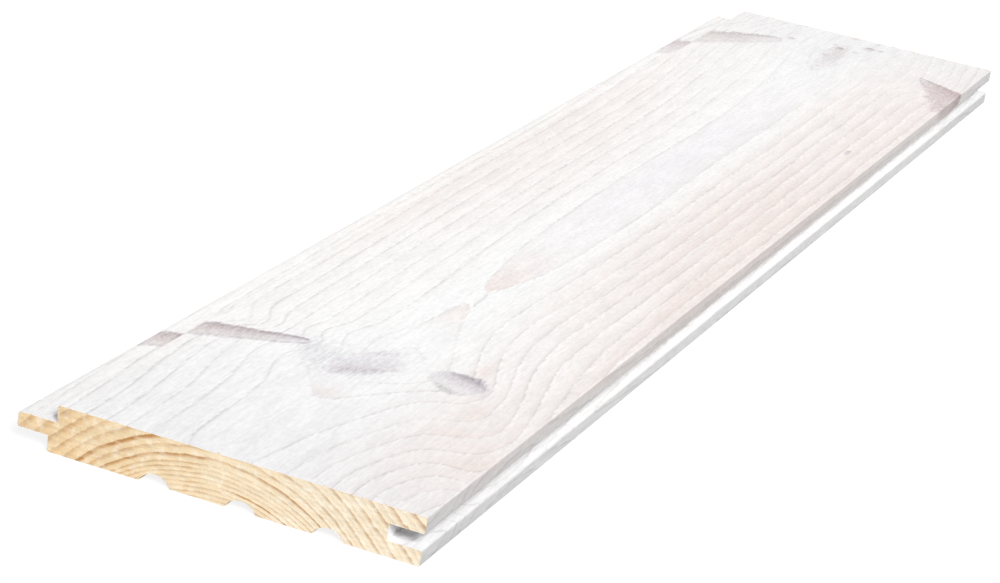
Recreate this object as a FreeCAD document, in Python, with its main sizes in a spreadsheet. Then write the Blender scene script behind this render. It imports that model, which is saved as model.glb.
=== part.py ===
# Tongue and groove board: one length of planed softwood panelling with a shadow-gap joint.
# It lies on its back with the face up. X runs across the width from the tongue to the groove,
# Y along the length and Z up. The origin is the middle of the back. Sizes are in millimetres.
import FreeCAD, Part
import os

import Sketcher

# Driving dimensions: name, value, what it measures
SIZES = [
    ("board_length", 575.0, "sawn length"),
    ("board_width", 120.0, "overall width, tongue tip to upper groove lip"),
    ("board_thickness", 14.0, "planed thickness"),
    ("tongue_length", 9.5, "tongue, out from the lower shoulder"),
    ("tongue_thickness", 4.3, "tongue, top to underside"),
    ("tongue_drop", 5.0, "face down to the top of the tongue"),
    ("shadow_setback", 2.2, "upper shoulder, in from the lower shoulder"),
    ("lip_setback", 0.3, "lower groove lip, in from the upper lip"),
    ("cheek_clearance", 0.25, "groove past the tongue, above and below it"),
    ("tip_clearance", 0.5, "groove past the tip of a closed-up tongue"),
    ("relief_count", 3, "relief grooves in the back"),
    ("relief_inset", 32.6, "lower shoulder to the middle of the first relief groove"),
    ("relief_pitch", 25.6, "relief groove to relief groove"),
    ("relief_width", 9.2, "relief groove across its mouth"),
    ("relief_depth", 2.9, "relief groove at its deepest"),
    ("arris_radius", 0.4, "eased long edges of the face and the back"),
    ("lead_in_radius", 0.6, "eased tongue tip and groove mouth"),
]
VALUE = {name: value for name, value, meaning in SIZES}

SAME_PLACE = 1e-4  # points nearer than this are one point


def make_sheet(doc):
    """Write the driving dimensions to a sheet, one aliased cell each."""
    sheet = doc.addObject("Spreadsheet::Sheet", "Sizes")
    for row, (name, value, meaning) in enumerate(SIZES, start=1):
        sheet.set(f"A{row}", meaning)
        sheet.set(f"B{row}", str(value))
        sheet.setAlias(f"B{row}", name)
    doc.recompute()


def sketch_on(body, name, role):
    """Start a sketch on one of the body's own origin planes."""
    sketch = body.newObject("Sketcher::SketchObject", name)
    plane = next(f for f in body.Origin.OriginFeatures if f.Role == role)
    sketch.AttachmentSupport = [(plane, "")]
    sketch.MapMode = "FlatFace"
    return sketch


def size_constraint(sketch, name, formula, *constraint):
    """Add a named dimension to a sketch and bind it to the sheet."""
    index = sketch.addConstraint(Sketcher.Constraint(*constraint))
    sketch.renameConstraint(index, name)
    sketch.setExpression(f"Constraints.{name}", formula)


def section_corners():
    """Corners of the board's section as (x, z), from the lower shoulder round by the groove."""
    tip = -VALUE["board_width"] / 2
    upper_lip = VALUE["board_width"] / 2
    lower_shoulder = tip + VALUE["tongue_length"]
    upper_shoulder = lower_shoulder + VALUE["shadow_setback"]
    lower_lip = upper_lip - VALUE["lip_setback"]
    groove_wall = lower_lip - VALUE["tongue_length"] - VALUE["tip_clearance"]
    face = VALUE["board_thickness"]
    tongue_top = face - VALUE["tongue_drop"]
    tongue_under = tongue_top - VALUE["tongue_thickness"]
    groove_roof = tongue_top + VALUE["cheek_clearance"]
    groove_floor = tongue_under - VALUE["cheek_clearance"]
    return {
        "back_left": (lower_shoulder, 0.0),
        "back_right": (lower_lip, 0.0),
        "lower_lip": (lower_lip, groove_floor),
        "floor_corner": (groove_wall, groove_floor),
        "roof_corner": (groove_wall, groove_roof),
        "upper_lip": (upper_lip, groove_roof),
        "face_right": (upper_lip, face),
        "face_left": (upper_shoulder, face),
        "tongue_root": (upper_shoulder, tongue_top),
        "tip_top": (tip, tongue_top),
        "tip_under": (tip, tongue_under),
        "lower_root": (lower_shoulder, tongue_under),
    }


def draw_section(body):
    """Sketch the section: level and upright runs by turns, each placed by a size of the sheet."""
    sketch = sketch_on(body, "Section", "XZ_Plane")
    corners = section_corners()
    names = list(corners)
    points = [FreeCAD.Vector(x, z, 0) for x, z in corners.values()]
    count = len(points)
    for i in range(count):
        sketch.addGeometry(Part.LineSegment(points[i], points[(i + 1) % count]), False)
    for i in range(count):
        sketch.addConstraint(Sketcher.Constraint("Coincident", i, 2, (i + 1) % count, 1))
        sketch.addConstraint(Sketcher.Constraint("Vertical" if i % 2 else "Horizontal", i))

    at = {name: (line, 1) for line, name in enumerate(names)}
    origin, level_axis = (-1, 1), -1
    sketch.addConstraint(Sketcher.Constraint("PointOnObject", *at["back_left"], level_axis))
    across = [
        ("left_half", "tip_top", None, "Sizes.board_width / 2"),
        ("width", "tip_top", "upper_lip", "Sizes.board_width"),
        ("tongue_reach", "tip_under", "lower_root", "Sizes.tongue_length"),
        ("shadow_gap", "lower_root", "tongue_root", "Sizes.shadow_setback"),
        ("lip_step", "back_right", "upper_lip", "Sizes.lip_setback"),
        ("groove_depth", "floor_corner", "lower_lip", "Sizes.tongue_length + Sizes.tip_clearance"),
    ]
    upward = [
        ("thickness", "back_left", "face_right", "Sizes.board_thickness"),
        ("tongue_below_face", "tongue_root", "face_left", "Sizes.tongue_drop"),
        ("tongue_height", "tip_under", "tip_top", "Sizes.tongue_thickness"),
        ("roof_clearance", "tip_top", "upper_lip", "Sizes.cheek_clearance"),
        ("floor_clearance", "lower_lip", "tip_under", "Sizes.cheek_clearance"),
    ]
    for kind, rows in (("DistanceX", across), ("DistanceY", upward)):
        axis = 0 if kind == "DistanceX" else 1
        for name, start, end, formula in rows:
            finish = corners[end][axis] if end else 0.0
            span = finish - corners[start][axis]
            size_constraint(sketch, name, formula, kind, *at[start], *at.get(end, origin), span)
    return sketch


def draw_relief(body):
    """Sketch the first relief groove: an arc over a chord that lies on the back."""
    sketch = sketch_on(body, "ReliefSection", "XZ_Plane")
    half = VALUE["relief_width"] / 2
    depth = VALUE["relief_depth"]
    middle = VALUE["tongue_length"] + VALUE["relief_inset"] - VALUE["board_width"] / 2
    left = FreeCAD.Vector(middle - half, 0, 0)
    right = FreeCAD.Vector(middle + half, 0, 0)
    crown = FreeCAD.Vector(middle, depth, 0)
    radius = (half ** 2 + depth ** 2) / (2 * depth)
    chord = sketch.addGeometry(Part.LineSegment(left, right), False)
    arc = sketch.addGeometry(Part.Arc(right, crown, left), False)
    level_axis, origin = -1, (-1, 1)
    sketch.addConstraint(Sketcher.Constraint("Coincident", chord, 2, arc, 1))
    sketch.addConstraint(Sketcher.Constraint("Coincident", arc, 2, chord, 1))
    sketch.addConstraint(Sketcher.Constraint("PointOnObject", chord, 1, level_axis))
    sketch.addConstraint(Sketcher.Constraint("PointOnObject", chord, 2, level_axis))
    size_constraint(sketch, "mouth", "Sizes.relief_width", "DistanceX", chord, 1, chord, 2, 2 * half)
    size_constraint(
        sketch, "place",
        "Sizes.board_width / 2 - Sizes.tongue_length - Sizes.relief_inset + Sizes.relief_width / 2",
        "DistanceX", chord, 1, *origin, -left.x,
    )
    size_constraint(
        sketch, "sweep",
        "(Sizes.relief_width ^ 2 / 4 + Sizes.relief_depth ^ 2) / (2 * Sizes.relief_depth)",
        "Radius", arc, radius,
    )
    return sketch


def long_edges(shape, names):
    """Names of the straight edges along Y that run through the given section corners."""
    corners = section_corners()
    wanted = [FreeCAD.Vector(corners[name][0], 0, corners[name][1]) for name in names]
    found = []
    for number, edge in enumerate(shape.Edges, start=1):
        ends = [FreeCAD.Vector(v.X, 0, v.Z) for v in edge.Vertexes]
        if ends[0].distanceToPoint(ends[-1]) > SAME_PLACE:
            continue
        if any(ends[0].distanceToPoint(corner) < SAME_PLACE for corner in wanted):
            found.append(f"Edge{number}")
    if len(found) != len(wanted):
        raise RuntimeError(f"found {len(found)} of {len(wanted)} edges: {names}")
    return found


def ease(doc, body, name, corners, size_name):
    """Round the long edges at the given section corners."""
    base = body.Tip
    fillet = body.newObject("PartDesign::Fillet", name)
    fillet.Base = (base, long_edges(base.Shape, corners))
    fillet.setExpression("Radius", f"Sizes.{size_name}")
    doc.recompute()


def make_board(doc):
    """Pad the section, cut the relief grooves into the back and ease the long edges."""
    body = doc.addObject("PartDesign::Body", "Board")
    body.Label = "board"
    stock = body.newObject("PartDesign::Pad", "Stock")
    stock.Profile = draw_section(body)
    stock.SideType = "Symmetric"
    stock.setExpression("Length", "Sizes.board_length")
    doc.recompute()
    planed_volume = stock.Shape.Volume

    relief = body.newObject("PartDesign::Pocket", "Relief")
    relief.Profile = draw_relief(body)
    relief.SideType = "Symmetric"
    relief.setExpression("Length", "Sizes.board_length")
    doc.recompute()
    if relief.Shape.Volume >= planed_volume:
        raise RuntimeError("the relief groove cuts nothing")

    reliefs = body.newObject("PartDesign::LinearPattern", "Reliefs")
    reliefs.Originals = [relief]
    reliefs.Direction = (relief.Profile[0], ["H_Axis"])
    reliefs.setExpression("Occurrences", "Sizes.relief_count")
    reliefs.setExpression("Length", "Sizes.relief_pitch * (Sizes.relief_count - 1)")
    body.Tip = reliefs
    doc.recompute()

    ease(doc, body, "EasedArrises", ["back_left", "back_right", "face_right", "face_left"],
         "arris_radius")
    ease(doc, body, "LeadIns", ["lower_lip", "upper_lip", "tip_top", "tip_under"],
         "lead_in_radius")
    return body


def check(doc, bodies):
    """Stop if anything in the document failed or a solid isn't sound."""
    for item in doc.Objects:
        if {"Invalid", "Error"} & set(item.State):
            raise RuntimeError(f"{item.Name}: {item.State}")
    for body in bodies:
        shape = body.Shape
        if shape.isNull() or not shape.isValid() or len(shape.Solids) != 1:
            raise RuntimeError(f"{body.Label} isn't one sound solid")


def main():
    """Build the board and write it out."""
    doc = FreeCAD.newDocument("TongueGrooveBoard")
    make_sheet(doc)
    board = make_board(doc)
    check(doc, [board])
    os.makedirs("parts", exist_ok=True)
    board.Shape.exportStep(f"parts/{board.Label}.step")
    box = board.Shape.BoundBox
    print(f"{board.Label}: {box.XLength:.2f} x {box.YLength:.2f} x {box.ZLength:.2f} mm, "
          f"{board.Shape.Volume / 1000:.2f} cm3")


main()
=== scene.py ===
"""Tongue and groove board: one length of brushed, white-glazed pine, sawn at both ends.

The board lies on its back with its face up. X runs across the width from the tongue to the groove,
Y along the length and Z up. Sizes of the wood are in millimetres, and the meshes are in metres.
"""

import logging
import math
from dataclasses import dataclass, field
from enum import Enum
from typing import Any, Union

import bpy
import numpy as np
from mathutils import Matrix, Vector
from mathutils.geometry import delaunay_2d_cdt


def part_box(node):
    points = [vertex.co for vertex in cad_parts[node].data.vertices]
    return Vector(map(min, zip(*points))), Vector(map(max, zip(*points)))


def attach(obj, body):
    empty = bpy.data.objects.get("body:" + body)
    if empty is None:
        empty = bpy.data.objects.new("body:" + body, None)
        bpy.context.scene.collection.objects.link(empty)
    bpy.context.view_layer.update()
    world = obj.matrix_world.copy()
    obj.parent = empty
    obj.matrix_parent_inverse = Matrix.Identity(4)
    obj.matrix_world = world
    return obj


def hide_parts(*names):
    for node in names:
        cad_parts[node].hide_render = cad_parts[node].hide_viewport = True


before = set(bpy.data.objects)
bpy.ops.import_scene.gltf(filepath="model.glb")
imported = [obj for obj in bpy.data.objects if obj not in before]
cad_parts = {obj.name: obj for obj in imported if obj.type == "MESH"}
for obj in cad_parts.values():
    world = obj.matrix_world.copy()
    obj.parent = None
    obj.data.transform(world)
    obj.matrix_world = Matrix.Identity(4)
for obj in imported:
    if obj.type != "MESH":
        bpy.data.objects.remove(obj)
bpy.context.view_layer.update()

MM = 0.001  # metres in a millimetre
SAME_PLACE = 1e-7  # points of an end nearer than this are one point
LEAST_SLOPE = 1e-6  # the least rings to a millimetre that a line's width is worked out for
TWIG_TOP = 20.0  # above the face, so that a twig comes right through it
UV_NAME = "OFBake"
log = logging.getLogger("board")

Colour = tuple[float, float, float]
Triple = tuple[float, float, float]
Array = np.ndarray


def srgb(red: int, green: int, blue: int) -> Colour:
    """Turns a colour as a screen shows it into the linear values that a shader takes.

    Args:
        red: red, 0 to 255.
        green: green, 0 to 255.
        blue: blue, 0 to 255.

    Returns:
        The linear colour.
    """
    def linear(value: float) -> float:
        """One channel, from 0 to 1."""
        return value / 12.92 if value <= 0.04045 else ((value + 0.055) / 1.055) ** 2.4

    return linear(red / 255), linear(green / 255), linear(blue / 255)


def rise(value: Array) -> Array:
    """A smooth step from 0 to 1, half way at 0."""
    return 0.5 + 0.5 * np.tanh(value)


def bell(value: Array) -> Array:
    """A smooth hump, 1 at 0 and nothing past about 2."""
    return np.exp(-value ** 2)


class LatticeNoise:
    """Smooth seeded noise from -1 to 1, repeated after a number of cells each way."""

    def __init__(self, seed: int, cells: int = 64) -> None:
        """Draws the values at the corners of the cells."""
        self.cells = cells
        self.values = np.random.default_rng(seed).uniform(-1.0, 1.0, (cells, cells, cells))

    def __call__(self, points: Array, cell: Triple) -> Array:
        """Blends the eight corners of the cell round each point.

        Args:
            points: the places, one a row.
            cell: the size of a cell along each axis.

        Returns:
            The noise at each place.
        """
        places = (points / cell).T
        low = np.floor(places).astype(int)
        part = places - low
        part = part * part * (3.0 - 2.0 * part)
        total = np.zeros(len(points))
        for corner in np.ndindex(2, 2, 2):
            share = np.ones(len(points))
            for axis, side in enumerate(corner):
                share = share * (part[axis] if side else 1.0 - part[axis])
            x, y, z = [(low[axis] + corner[axis]) % self.cells for axis in range(3)]
            total += share * self.values[x, y, z]
        return total


class Side(Enum):
    """A finish that the board's surface can have, by its material slot."""

    GLAZED = 0
    BARE = 1
    SAWN = 2


@dataclass(frozen=True)
class Corner:
    """A right-angled corner of the section, with the radius that eases it."""

    x: float
    z: float
    radius: float = 0.0


@dataclass
class Section:
    """The board's section, drawn once round from the lower shoulder by way of the back."""

    width: float
    thickness: float
    tongue_length: float = 9.5
    tongue_thickness: float = 4.3
    tongue_drop: float = 5.0
    shadow_setback: float = 2.2
    lip_setback: float = 0.3
    cheek_clearance: float = 0.25
    tip_clearance: float = 0.5
    relief_count: int = 3
    relief_inset: float = 32.6
    relief_pitch: float = 25.6
    relief_width: float = 9.2
    relief_depth: float = 2.9
    arris_radius: float = 0.4
    lead_in_radius: float = 0.6
    face_step: float = 0.58
    plain_step: float = 1.1
    arc_parts: int = 5
    relief_parts: int = 14

    def corners(self) -> dict[str, Corner]:
        """Works out the corners from the sizes.

        Returns:
            Each corner by its name, in order round the section.
        """
        tip, upper_lip = -self.width / 2, self.width / 2
        lower_shoulder = tip + self.tongue_length
        upper_shoulder = lower_shoulder + self.shadow_setback
        lower_lip = upper_lip - self.lip_setback
        wall = lower_lip - self.tongue_length - self.tip_clearance
        tongue_top = self.thickness - self.tongue_drop
        tongue_under = tongue_top - self.tongue_thickness
        roof = tongue_top + self.cheek_clearance
        floor = tongue_under - self.cheek_clearance
        arris, lead_in = self.arris_radius, self.lead_in_radius
        return {
            "back_left": Corner(lower_shoulder, 0.0, arris),
            "back_right": Corner(lower_lip, 0.0, arris),
            "lower_lip": Corner(lower_lip, floor, lead_in),
            "floor_corner": Corner(wall, floor),
            "roof_corner": Corner(wall, roof),
            "upper_lip": Corner(upper_lip, roof, lead_in),
            "face_right": Corner(upper_lip, self.thickness, arris),
            "face_left": Corner(upper_shoulder, self.thickness, arris),
            "tongue_root": Corner(upper_shoulder, tongue_top),
            "tip_top": Corner(tip, tongue_top, lead_in),
            "tip_under": Corner(tip, tongue_under, lead_in),
            "lower_root": Corner(lower_shoulder, tongue_under),
        }

    def eased(self, before: Corner, corner: Corner, after: Corner) -> Array:
        """Rounds one corner.

        Args:
            before: the corner before it.
            corner: the corner.
            after: the corner after it.

        Returns:
            The points of the arc, or the corner's own point where it is sharp.
        """
        here = np.array([corner.x, corner.z])
        if corner.radius == 0.0:
            return here[None]
        back = np.array([before.x, before.z]) - here
        on = np.array([after.x, after.z]) - here
        back = back / np.linalg.norm(back)
        on = on / np.linalg.norm(on)
        turn = np.linspace(0.0, math.pi / 2, self.arc_parts + 1)[:, None]
        return here + corner.radius * (back + on - back * np.sin(turn) - on * np.cos(turn))

    def relief_arcs(self) -> list[Array]:
        """Draws the relief grooves in the back.

        Returns:
            The points of each groove's arc, from left to right.
        """
        half = self.relief_width / 2
        radius = (half ** 2 + self.relief_depth ** 2) / (2 * self.relief_depth)
        reach = math.asin(half / radius)
        turn = np.linspace(-reach, reach, self.relief_parts + 1)
        first = self.tongue_length + self.relief_inset - self.width / 2
        sink = self.relief_depth - radius
        middles = first + self.relief_pitch * np.arange(self.relief_count)
        return [np.stack([m + radius * np.sin(turn), sink + radius * np.cos(turn)], 1) for m in middles]

    def outline(self) -> tuple[Array, Array, Array]:
        """Draws the section with its eased corners and relief grooves.

        Returns:
            The points as x and z, the finish from each point to the next, and how much of the face's
            brushing each point has.
        """
        corners = self.corners()
        names = list(corners)
        arcs = {}
        for number, name in enumerate(names):
            before, after = names[number - 1], names[(number + 1) % len(names)]
            arcs[name] = self.eased(corners[before], corners[name], corners[after])
        points, sides, brushing = [], [], []
        for number, name in enumerate(names):
            stretches = [arcs[name]]
            stretches += self.relief_arcs() if name == "back_left" else []
            stretches += [arcs[names[(number + 1) % len(names)]][:1]]
            side = Side.BARE if name == "back_left" else Side.GLAZED
            step = self.face_step if name == "face_right" else self.plain_step
            brushed = 1.0 if name == "face_right" else 0.0
            for stretch, following in zip(stretches[:-1], stretches[1:]):
                start, stop = stretch[-1], following[0]
                parts = max(1, round(float(np.linalg.norm(stop - start)) / step))
                run = start + (stop - start) * np.linspace(0.0, 1.0, parts + 1)[1:-1, None]
                row = np.concatenate([stretch, run])
                points.append(row)
                sides += [side.value] * len(row)
                brushing += [0.0] * len(stretch) + [brushed] * len(run)
        return np.concatenate(points), np.array(sides), np.array(brushing)


@dataclass(frozen=True)
class Swell:
    """A place where the rings bulge round a branch: short in front of it and long behind it."""

    x: float
    y: float
    lift: float
    across: float
    front: float
    back: float
    tilt: float = 0.0
    blend: float = 12.0

    def height(self, x: Array, y: Array) -> Array:
        """Measures the bulge.

        Args:
            x: places across the board.
            y: places along the board.

        Returns:
            How far the rings stand out at each place.
        """
        beside = x - self.x
        along = y - self.y - self.tilt * beside
        length = self.front + (self.back - self.front) * rise(along / self.blend)
        return self.lift * bell(beside / self.across) * bell(along / length)


class Tone(Enum):
    """How a branch shows through the glaze, from cool grey to red."""

    GREY = 0.0
    TAN = 0.5
    RED = 1.0


@dataclass(frozen=True)
class Branch:
    """A branch in the wood, from its thin end, which is always grey, to its thick end."""

    thin: Triple
    thick: Triple
    thin_radius: float
    thick_radius: float
    tone: Tone
    strength: float
    taper: float = 0.5
    lee: Triple = (0.0, 1.0, 0.0)
    grey_tip: float = 0.4

    @classmethod
    def pin(cls, x: float, y: float, radius: float, tone: Tone, strength: float) -> "Branch":
        """A pin knot: a twig that comes straight up through the face."""
        return cls((x, y, 0.0), (x, y, TWIG_TOP), radius, radius, tone, strength)

    def measure(self, points: Array) -> tuple[Array, Array, Array]:
        """Measures places against the branch.

        Args:
            points: the places, one a row.

        Returns:
            How far out each place is, 1 at the bark, how far it lies to the lee side, -1 to 1, and the
            branch's tone there.
        """
        start, run = np.array(self.thin), np.array(self.thick) - np.array(self.thin)
        share = np.clip((points - start) @ run / (run @ run), 0.0, 1.0)
        away = points - (start + share[:, None] * run)
        radius = self.thin_radius + (self.thick_radius - self.thin_radius) * share ** self.taper
        axis = run / np.linalg.norm(run)
        lee = np.array(self.lee) - (np.array(self.lee) @ axis) * axis
        tone = self.tone.value * np.minimum(share / self.grey_tip, 1.0)
        out, side = np.linalg.norm(away, axis=1) / radius, away @ lee / np.linalg.norm(lee) / radius
        return out, side, tone


class Stain(Enum):
    """What shows through the glaze in a patch, by the name of its field."""

    RESIN = "warm"
    HEART = "heart"
    BLOOM = "bloom"
    SMOKE = "smoke"
    CREAM = "cream"
    FADE = "fade"


@dataclass(frozen=True)
class Patch:
    """A soft patch of stain on the face."""

    stain: Stain
    x: float
    y: float
    across: float
    along: float
    strength: float

    def depth(self, x: Array, y: Array) -> Array:
        """How strong the stain is at each place."""
        return self.strength * bell((x - self.x) / self.across) * bell((y - self.y) / self.along)


@dataclass(frozen=True)
class Heart:
    """The heart of the tree, which runs under the board and wanders a little along it."""

    x: float = 2.2
    drift: float = 3.2
    drift_at: float = -207.5
    drift_reach: float = 45.0
    depth: float = 54.0
    sag: float = 2.1
    sag_until: float = -112.5
    sag_reach: float = 66.0
    dip: float = 3.0
    dip_reach: float = 75.0

    def place(self, y: Array, front: float) -> tuple[Array, Array]:
        """Finds the heart.

        Args:
            y: places along the board.
            front: where the board's near end is.

        Returns:
            The heart's x and its depth under the face, at each place.
        """
        x = self.x + self.drift * rise((y - self.drift_at) / self.drift_reach)
        sagging = 1.0 - rise((y - self.sag_until) / self.sag_reach)
        return x, self.depth + self.sag * sagging + self.dip * bell((y - front) / self.dip_reach)


@dataclass
class Wood:
    """The pine that the board was cut from: its rings, its branches and its stains."""

    face: float
    front: float
    heart: Heart = Heart()
    swells: tuple[Swell, ...] = (
        # the near whorl: its middle knots, the flame, then the groove's side and the tongue's side
        Swell(8.0, -194.0, 1.4, 17.0, 36.0, 74.0, -0.6),
        Swell(19.0, -198.0, 2.6, 27.0, 11.0, 31.0, 0.4),
        Swell(5.0, -124.0, -0.18, 14.0, 11.0, 25.0),
        Swell(5.0, -67.0, 0.34, 16.0, 36.0, 130.0),
        Swell(45.0, -214.0, 6.5, 18.0, 27.0, 29.0, -0.8),
        Swell(65.0, -252.0, 9.5, 17.0, 17.0, 86.0, -0.9),
        Swell(49.0, -285.0, -3.0, 25.0, 18.0, 21.0, -0.5),
        Swell(-21.0, -280.0, 1.5, 37.0, 22.0, 37.0, 0.6),
        Swell(-40.0, -211.0, 3.8, 27.0, 47.0, 8.0, 0.9),
        Swell(-35.0, -193.0, -3.3, 26.0, 8.0, 9.0, -0.2),
        # the far whorl, from the tongue's side to the groove's
        Swell(-42.0, 247.0, 5.5, 30.0, 86.0, 24.0, 0.9),
        Swell(2.0, 257.0, 0.6, 16.0, 34.0, 34.0),
        Swell(50.0, 240.0, 6.0, 26.0, 16.0, 50.0, -0.6),
    )
    branches: tuple[Branch, ...] = (
        # the near whorl: the spike at the tongue, the middle knot with its core, and the round knot
        Branch((-17.75, -196.0, 14.0), (-62.0, -215.5, 10.0), 0.5, 7.2, Tone.TAN, 1.0, 0.42),
        Branch((16.0, -174.5, -2.0), (-2.5, -208.5, 20.0), 6.2, 7.4, Tone.GREY, 0.7,
               lee=(0.0, -1.0, 0.0)),
        Branch((0.5, -200.5, 13.0), (7.5, -199.0, 15.0), 1.8, 2.2, Tone.GREY, 0.9),
        Branch((21.25, -189.8, -2.0), (31.75, -197.5, 20.0), 5.0, 8.2, Tone.GREY, 1.0,
               lee=(0.3, 1.0, 0.0)),
        # the dark check between the tips of the flame
        Branch((6.6, -134.0, 14.0), (5.8, -118.5, 14.0), 0.5, 0.5, Tone.GREY, 0.68),
        # the far whorl: the spike at the tongue, the cluster of twigs and the spike at the groove
        Branch((-22.0, 257.5, 14.0), (-62.0, 220.0, 11.0), 1.0, 11.4, Tone.TAN, 0.7, 0.4),
        Branch((1.75, 274.5, 8.0), (3.75, 217.5, 21.0), 4.6, 5.6, Tone.TAN, 0.44),
        Branch.pin(-19.2, 262.0, 1.8, Tone.GREY, 0.7),
        Branch.pin(-1.6, 268.3, 1.8, Tone.GREY, 0.6),
        Branch.pin(1.4, 264.0, 2.6, Tone.TAN, 1.0),
        Branch.pin(2.0, 285.5, 2.0, Tone.TAN, 0.6),
        Branch.pin(0.2, 249.6, 2.3, Tone.TAN, 1.0),
        Branch.pin(0.6, 244.2, 1.3, Tone.TAN, 0.7),
        Branch.pin(5.2, 235.2, 1.4, Tone.TAN, 0.7),
        Branch.pin(2.3, 230.7, 1.3, Tone.RED, 0.6),
        Branch.pin(7.9, 263.6, 1.9, Tone.GREY, 0.5),
        Branch.pin(11.1, 273.8, 2.5, Tone.GREY, 0.95),
        Branch.pin(12.0, 285.0, 1.6, Tone.GREY, 0.6),
        Branch.pin(15.8, 275.1, 1.5, Tone.GREY, 0.8),
        Branch((40.25, 249.5, 14.0), (67.5, 220.0, 22.0), 0.5, 18.5, Tone.RED, 0.95, 1.0),
        # a resin pocket by itself
        Branch((48.25, 118.5, 14.0), (48.25, 125.5, 14.0), 0.7, 0.9, Tone.TAN, 1.0),
    )
    patches: tuple[Patch, ...] = (
        Patch(Stain.RESIN, 2.0, -227.5, 4.5, 5.0, 0.6),
        Patch(Stain.RESIN, 30.5, -182.0, 2.6, 7.5, 0.7),
        Patch(Stain.RESIN, 41.0, -212.5, 3.6, 8.0, 0.4),
        Patch(Stain.RESIN, 43.0, -231.0, 4.5, 5.0, 0.25),
        Patch(Stain.RESIN, 55.0, -245.0, 6.0, 8.0, 0.35),
        Patch(Stain.RESIN, 45.0, 20.0, 25.0, 200.0, 0.95),
        Patch(Stain.RESIN, 59.0, -20.0, 8.0, 230.0, 0.6),
        Patch(Stain.RESIN, 46.0, -240.0, 18.0, 50.0, 0.55),
        Patch(Stain.RESIN, -42.0, 50.0, 26.0, 190.0, 0.66),
        Patch(Stain.RESIN, 40.0, 200.0, 26.0, 80.0, 0.4),
        Patch(Stain.RESIN, -15.0, 20.0, 10.0, 150.0, 0.2),
        Patch(Stain.RESIN, 27.0, 10.0, 8.0, 160.0, 0.17),
        Patch(Stain.CREAM, -56.0, -20.0, 9.0, 400.0, 0.45),
        Patch(Stain.HEART, 5.5, -112.0, 9.0, 20.0, 0.8),
        Patch(Stain.HEART, 5.0, -85.0, 8.0, 25.0, 0.35),
        Patch(Stain.HEART, 5.0, -142.0, 9.0, 13.0, 0.5),
        Patch(Stain.BLOOM, 6.0, 20.0, 30.0, 120.0, 0.3),
        Patch(Stain.BLOOM, 6.0, 110.0, 30.0, 90.0, 0.25),
        Patch(Stain.SMOKE, -9.0, -206.0, 6.0, 10.0, 0.7),
        Patch(Stain.SMOKE, -17.0, -198.0, 5.0, 6.0, 0.8),
        Patch(Stain.SMOKE, 1.0, -201.0, 7.0, 14.0, 0.45),
        Patch(Stain.SMOKE, 2.0, 247.0, 6.0, 26.0, 0.25),
        Patch(Stain.SMOKE, 12.0, 281.0, 1.6, 6.0, 0.5),
        Patch(Stain.SMOKE, 14.75, 122.5, 1.4, 6.0, 0.5),
        Patch(Stain.FADE, -4.0, -214.0, 9.0, 22.0, 0.95),
        Patch(Stain.FADE, 8.0, -195.0, 12.0, 9.0, 0.8),
        Patch(Stain.FADE, 0.0, 250.0, 50.0, 110.0, 0.6),
        Patch(Stain.FADE, 32.0, 240.0, 30.0, 50.0, 0.4),
    )
    stain_depth: float = 9.0
    # painted shade: from this far out across the board, the sides that face across it are drawn greyer
    side_shade_from: float = 58.0
    ring_centre: float = 30.9
    ring_scale: float = 23.85
    ring_rate: float = 11.42
    inner_spacing: float = 1.3
    ripple_height: float = 0.06
    ripple_growth: float = 0.3
    ripple_spread: float = 30.0
    ripple_cell: Triple = (9.0, 42.0, 9.0)
    bark_wander: float = 0.16
    bark_cell: Triple = (3.0, 4.0, 3.0)
    line_width: float = 0.5
    broad_line: float = 2.5
    fine_line: float = 36.0
    probe: float = 0.2
    # the board is drawn greyer toward its ends: how far that reaches from the near end, and how strong
    # and far it is at the far end
    near_end_reach: float = 80.0
    far_end_share: float = 0.75
    far_end_reach: float = 60.0
    ripple: LatticeNoise = field(default_factory=lambda: LatticeNoise(11))
    ragged: LatticeNoise = field(default_factory=lambda: LatticeNoise(23))

    def rings(self, points: Array) -> Array:
        """Counts the year rings outward: a whole number where one year ends.

        Args:
            points: the places, one a row.

        Returns:
            The ring count at each place.
        """
        x, y, z = points.T
        heart_x, depth = self.heart.place(y, self.front)
        radius = np.hypot(x - heart_x, z - self.face + depth)
        for swell in self.swells:
            radius = radius - swell.height(x, y)
        spread = np.minimum(np.abs(x - heart_x) / self.ripple_spread, 1.0)
        height = self.ripple_height + self.ripple_growth * spread
        radius = radius + height * self.ripple(points, self.ripple_cell)
        turn = self.ring_centre + self.ring_scale
        outer = np.log((np.maximum(radius, turn) - self.ring_centre) / self.ring_scale)
        return self.ring_rate * outer + np.minimum(radius - turn, 0.0) / self.inner_spacing

    def knots(self, points: Array) -> dict[str, Array]:
        """Measures places against the nearest branch.

        Args:
            points: the places, one a row.

        Returns:
            The fields knot, lee, tone and strength.
        """
        rough = 1.0 + self.bark_wander * self.ragged(points, self.bark_cell)
        measures = [branch.measure(points) for branch in self.branches]
        out, lee, tone = [np.stack(rows) for rows in zip(*measures)]
        out = out * rough
        nearest = np.argmin(out, axis=0)
        pick = nearest, np.arange(len(points))
        return {
            "knot": out[pick],
            "lee": lee[pick],
            "tone": tone[pick],
            "strength": np.array([b.strength for b in self.branches])[nearest],
        }

    def crispness(self, points: Array, normals: Array) -> Array:
        """How narrow the latewood lines are in the surface, as a share of the ring that they end.

        Args:
            points: the places, one a row.
            normals: the surface's normals there.

        Returns:
            The number of line widths that fit into the ring.
        """
        ring = self.rings(points)
        slopes = [self.rings(points + self.probe * step) - ring for step in np.eye(3)]
        slope = np.stack(slopes, 1) / self.probe
        slope = slope - (slope * normals).sum(1)[:, None] * normals
        steepness = np.maximum(np.linalg.norm(slope, axis=1), LEAST_SLOPE)
        return np.clip(1.0 / (self.line_width * steepness), self.broad_line, self.fine_line)

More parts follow.
